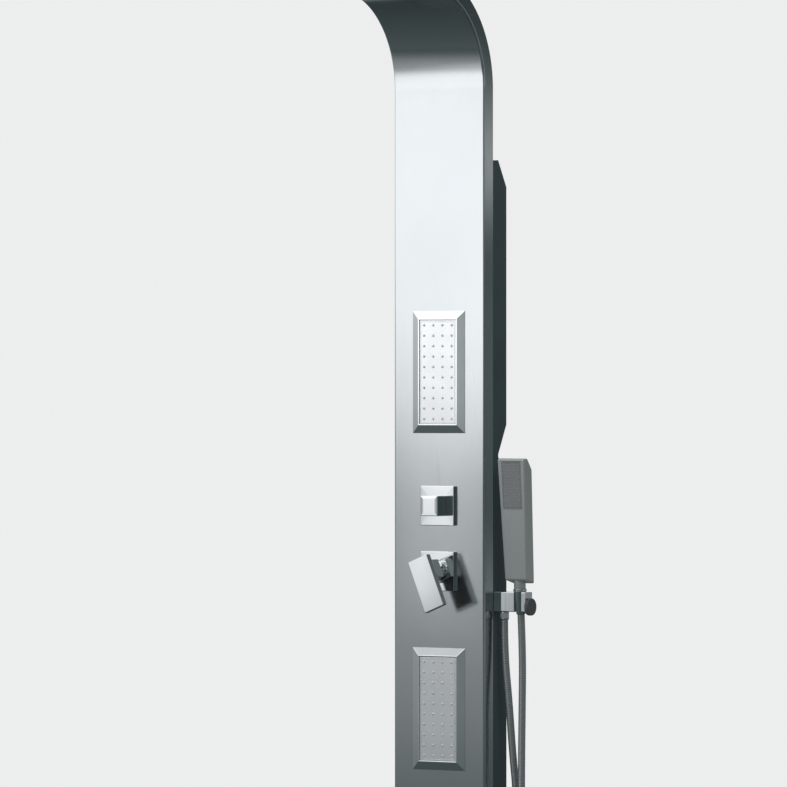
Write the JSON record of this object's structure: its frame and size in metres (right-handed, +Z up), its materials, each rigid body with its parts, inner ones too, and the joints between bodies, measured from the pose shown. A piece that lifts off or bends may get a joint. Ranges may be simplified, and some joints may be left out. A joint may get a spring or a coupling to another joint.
{
  "type": "shower panel column",
  "caption": "Wall shower column of folded sheet metal with an arched rain canopy, body jets, lever mixer, diverter knob and a square hand shower on a hose.",
  "frame": {"origin": "centre of the four wall screw holes, on the wall's surface", "axes": "+Z up along the panel, +Y into the wall, +X to the viewer's right as the panel is faced"},
  "size_m": [0.3423, 0.49, 1.8884],
  "materials": {
    "stainless_panel": "fine satin, nearly mirror",
    "dark_casing": "satin dark teal-grey paint",
    "chrome": "polished",
    "nozzle_plate": "silver-grey plastic with rubber nozzle tips",
    "handset_grey": "satin silver-grey",
    "spray_face": "satin grey with rubber tips",
    "hose_silver": "smooth silver plastic",
    "knob_dark": "dark grey",
    "brass": "turned",
    "white_plastic": "moulded",
    "zinc_steel": "zinc plated",
    "cartridge": "moulded"
  },
  "bodies": {
    "panel": {"back_tray": "zinc_steel", "bottom_cap": "stainless_panel", "canopy_cover": "stainless_panel", "canopy_end_cap": "stainless_panel", "cap_screws": "zinc_steel", "casing_screws": "zinc_steel", "cold_inlet": "brass", "diverter_nut": "brass", "diverter_plate": "chrome", "diverter_valve": "brass", "front_panel": "stainless_panel", "handset_pipe": "white_plastic", "holder_pin": "zinc_steel", "hose_outlet_nut": "chrome", "hot_inlet": "brass", "lower_jet_chamber": "white_plastic", "lower_jet_frame": "chrome", "lower_jet_pipe": "white_plastic", "lower_jet_plate": "nozzle_plate", "lower_jet_screws": "zinc_steel", "lower_rear_casing": "dark_casing", "lower_wall_bracket": "zinc_steel", "mixed_water_pipe": "white_plastic", "mixer_cartridge": "cartridge", "mixer_nut": "brass", "mixer_plate": "chrome", "mixer_valve": "brass", "outlet_block": "chrome", "outlet_elbow": "brass", "rain_head_chamber": "white_plastic", "rain_head_frame": "chrome", "rain_head_plate": "nozzle_plate", "rain_head_screws": "zinc_steel", "riser_pipe": "white_plastic", "shower_hose": "hose_silver", "upper_jet_chamber": "white_plastic", "upper_jet_frame": "chrome", "upper_jet_pipe": "white_plastic", "upper_jet_plate": "nozzle_plate", "upper_jet_screws": "zinc_steel", "upper_rear_casing": "dark_casing", "upper_wall_bracket": "zinc_steel"},
    "diverter_turn_body": {"diverter_knob": "chrome", "diverter_stem": "brass"},
    "mixer_collar": {"mixer_dome": "chrome"},
    "mixer_handle": {"mixer_lever": "chrome", "mixer_spindle": "zinc_steel"},
    "holder": {"holder_cradle": "chrome", "tilt_knob": "knob_dark"},
    "hand_shower": {"handset_body": "handset_grey", "handset_spray_face": "spray_face", "hose_cone_nut": "chrome"}
  },
  "joints": [
    {"name": "diverter_turn", "type": "hinge", "parent": "panel", "child": "diverter_turn_body", "pos_m": [0, -0.1, -0.077], "axis": [0, -1, 0], "range_deg": [-90, 90]},
    {"name": "mixer_turn", "type": "hinge", "parent": "panel", "child": "mixer_collar", "pos_m": [0, -0.089, -0.199], "axis": [0, -1, 0], "range_deg": [-67, 23]},
    {"name": "mixer_lift", "type": "hinge", "parent": "mixer_collar", "child": "mixer_handle", "pos_m": [0, -0.089, -0.199], "axis": [-0.9272, 0, -0.3746], "range_deg": [0, 25]},
    {"name": "holder_tilt", "type": "hinge", "parent": "panel", "child": "holder", "pos_m": [0.1265, -0.0375, -0.264], "axis": [1, 0, 0], "range_deg": [-5, 20], "deforming": ["shower_hose"]},
    {"name": "handset_lift", "type": "slide", "parent": "holder", "child": "hand_shower", "axis": [0, -0.0802, 0.9968], "range_m": [0, 0.045], "deforming": ["shower_hose"]}
  ]
}
